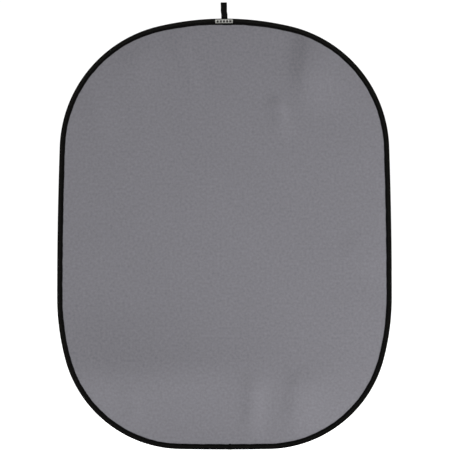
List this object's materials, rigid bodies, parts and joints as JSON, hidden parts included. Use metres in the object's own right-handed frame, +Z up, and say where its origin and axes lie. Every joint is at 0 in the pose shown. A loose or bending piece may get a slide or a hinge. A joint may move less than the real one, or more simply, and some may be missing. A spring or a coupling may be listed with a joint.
{
  "type": "collapsible backdrop panel",
  "caption": "Oblong spring-framed pop-up cloth panel with a taped black rim and a webbing hanging loop.",
  "frame": {"origin": "centre of the bend at the top of the hanging loop, where the bar or hook bears", "axes": "+Z up along the panel's height, +X across its width to the right as seen from the front, front face towards -Y"},
  "size_m": [1.53, 0.015, 2.0448],
  "materials": {
    "grey_cloth": "matte",
    "black_tape": "matte",
    "black_webbing": "matte",
    "black_thread": "satin",
    "label_weave": "satin",
    "spring_steel": "satin",
    "plain_steel": "satin",
    "shrink_wrap": "matte"
  },
  "bodies": {
    "hanging_loop": {"hanging_loop": "black_webbing", "loop_bartack": "black_thread"},
    "top_end": {"binding_top": "black_tape", "hoop_top": "spring_steel", "front_cloth_top": "grey_cloth", "rear_cloth_top": "grey_cloth", "woven_label": "label_weave", "loop_tail": "black_webbing"},
    "strip_1": {"binding_bend_1": "black_tape", "hoop_bend_1": "spring_steel", "front_cloth_bend_1": "grey_cloth", "rear_cloth_bend_1": "grey_cloth"},
    "strip_2": {"binding_bend_2": "black_tape", "hoop_bend_2": "spring_steel", "front_cloth_bend_2": "grey_cloth", "rear_cloth_bend_2": "grey_cloth"},
    "strip_3": {"binding_bend_3": "black_tape", "hoop_bend_3": "spring_steel", "front_cloth_bend_3": "grey_cloth", "rear_cloth_bend_3": "grey_cloth"},
    "strip_4": {"binding_bend_4": "black_tape", "hoop_bend_4": "spring_steel", "front_cloth_bend_4": "grey_cloth", "rear_cloth_bend_4": "grey_cloth"},
    "strip_5": {"binding_bend_5": "black_tape", "hoop_bend_5": "spring_steel", "front_cloth_bend_5": "grey_cloth", "rear_cloth_bend_5": "grey_cloth"},
    "strip_6": {"binding_bend_6": "black_tape", "hoop_bend_6": "spring_steel", "front_cloth_bend_6": "grey_cloth", "rear_cloth_bend_6": "grey_cloth"},
    "strip_7": {"binding_bend_7": "black_tape", "hoop_bend_7": "spring_steel", "front_cloth_bend_7": "grey_cloth", "rear_cloth_bend_7": "grey_cloth"},
    "bottom_end": {"binding_bottom": "black_tape", "hoop_bottom": "spring_steel", "front_cloth_bottom": "grey_cloth", "rear_cloth_bottom": "grey_cloth", "binding_lap": "black_tape", "hoop_joint_sleeve": "plain_steel", "hoop_joint_wrap": "shrink_wrap", "hoop_joint_rivets": "plain_steel"}
  },
  "joints": [
    {"name": "loop_swing", "type": "hinge", "parent": "hanging_loop", "child": "top_end", "pos_m": [0, 0, -0.06125], "axis": [1, 0, 0], "range_deg": [-90, 90]},
    {"name": "frame_bend_1", "type": "hinge", "parent": "top_end", "child": "strip_1", "pos_m": [0, 0, -0.52725], "axis": [1, 0, 0], "range_deg": [-22.5, 22.5], "stiffness_Nm_per_rad": 4},
    {"name": "frame_bend_2", "type": "hinge", "parent": "strip_1", "child": "strip_2", "pos_m": [0, 0, -0.67725], "axis": [1, 0, 0], "range_deg": [-22.5, 22.5], "stiffness_Nm_per_rad": 4},
    {"name": "frame_bend_3", "type": "hinge", "parent": "strip_2", "child": "strip_3", "pos_m": [0, 0, -0.82725], "axis": [1, 0, 0], "range_deg": [-22.5, 22.5], "stiffness_Nm_per_rad": 4},
    {"name": "frame_bend_4", "type": "hinge", "parent": "strip_3", "child": "strip_4", "pos_m": [0, 0, -0.97725], "axis": [1, 0, 0], "range_deg": [-22.5, 22.5], "stiffness_Nm_per_rad": 4},
    {"name": "frame_bend_5", "type": "hinge", "parent": "strip_4", "child": "strip_5", "pos_m": [0, 0, -1.12725], "axis": [1, 0, 0], "range_deg": [-22.5, 22.5], "stiffness_Nm_per_rad": 4},
    {"name": "frame_bend_6", "type": "hinge", "parent": "strip_5", "child": "strip_6", "pos_m": [0, 0, -1.27725], "axis": [1, 0, 0], "range_deg": [-22.5, 22.5], "stiffness_Nm_per_rad": 4},
    {"name": "frame_bend_7", "type": "hinge", "parent": "strip_6", "child": "strip_7", "pos_m": [0, 0, -1.42725], "axis": [1, 0, 0], "range_deg": [-22.5, 22.5], "stiffness_Nm_per_rad": 4},
    {"name": "frame_bend_8", "type": "hinge", "parent": "strip_7", "child": "bottom_end", "pos_m": [0, 0, -1.57725], "axis": [1, 0, 0], "range_deg": [-22.5, 22.5], "stiffness_Nm_per_rad": 4}
  ],
  "couplings": [
    {"joint": "frame_bend_2", "follows": "frame_bend_1", "ratio": 1},
    {"joint": "frame_bend_3", "follows": "frame_bend_1", "ratio": 1},
    {"joint": "frame_bend_4", "follows": "frame_bend_1", "ratio": 1},
    {"joint": "frame_bend_5", "follows": "frame_bend_1", "ratio": 1},
    {"joint": "frame_bend_6", "follows": "frame_bend_1", "ratio": 1},
    {"joint": "frame_bend_7", "follows": "frame_bend_1", "ratio": 1},
    {"joint": "frame_bend_8", "follows": "frame_bend_1", "ratio": 1}
  ]
}
